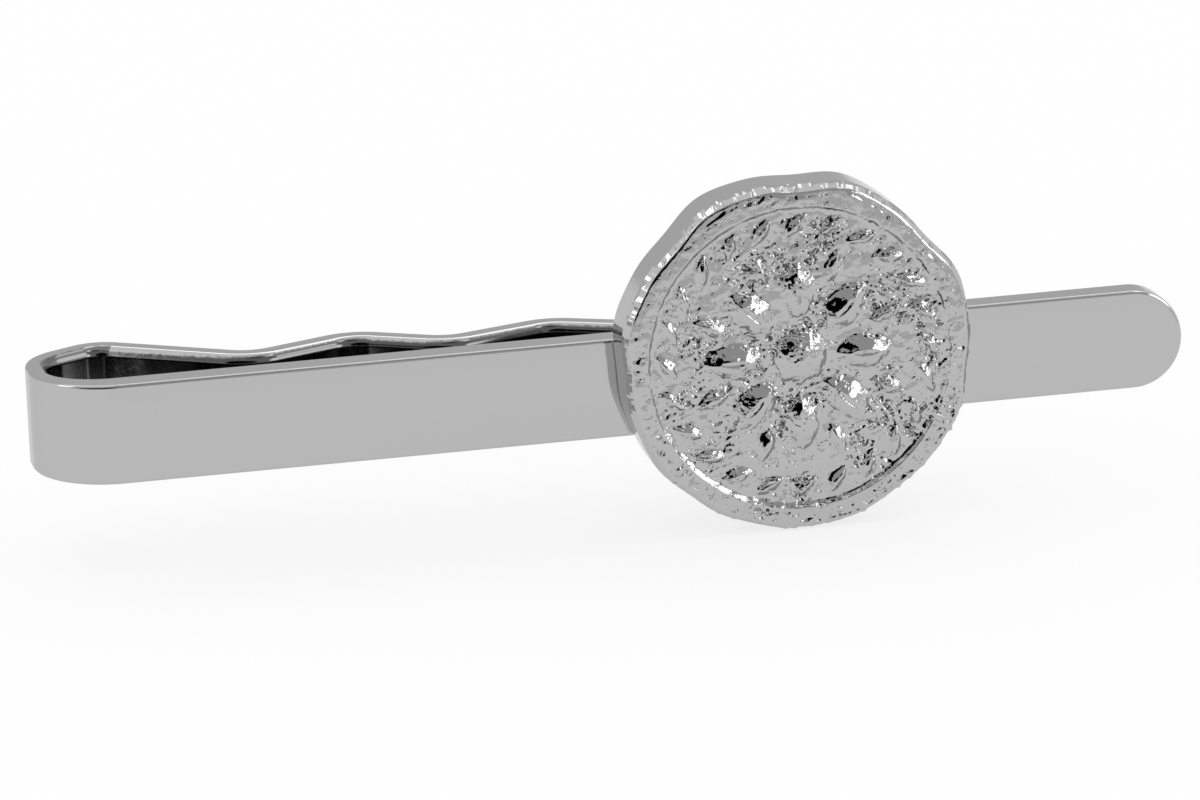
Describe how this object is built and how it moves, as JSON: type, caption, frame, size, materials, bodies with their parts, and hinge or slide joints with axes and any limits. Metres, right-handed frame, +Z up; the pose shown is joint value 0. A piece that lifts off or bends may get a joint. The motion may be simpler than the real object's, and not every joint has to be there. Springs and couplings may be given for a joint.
{
  "type": "tie clip",
  "caption": "Slide tie clip: a polished plated strip folded into a sprung, waved leaf behind a flat round-ended bar, with a thick round worn medallion on the bar's front.",
  "frame": {"origin": "on the bar's back face, at mid height, where the last wave of the leaf grips the tie", "axes": "as worn: +X along the bar from the fold to the round end, which is also the way the tie slides out, +Y from the front to the back, +Z up"},
  "size_m": [0.0572, 0.012, 0.0174],
  "materials": {
    "plated_strip": "polished rhodium plate on brass strip",
    "plated_casting": "polished rhodium plate on a worn, pitted casting",
    "solder": "plated solder seam"
  },
  "bodies": {
    "bar": {"front_bar": "plated_strip", "spring_fold": "plated_strip", "medallion": "plated_casting", "solder_joint": "solder"},
    "leaf": {"grip_leaf": "plated_strip"}
  },
  "joints": [
    {"name": "leaf_flex", "type": "hinge", "parent": "bar", "child": "leaf", "pos_m": [-0.03543, 0.00678, 0], "axis": [0, 0, 1], "range_deg": [0, 7], "stiffness_Nm_per_rad": 2.3}
  ]
}
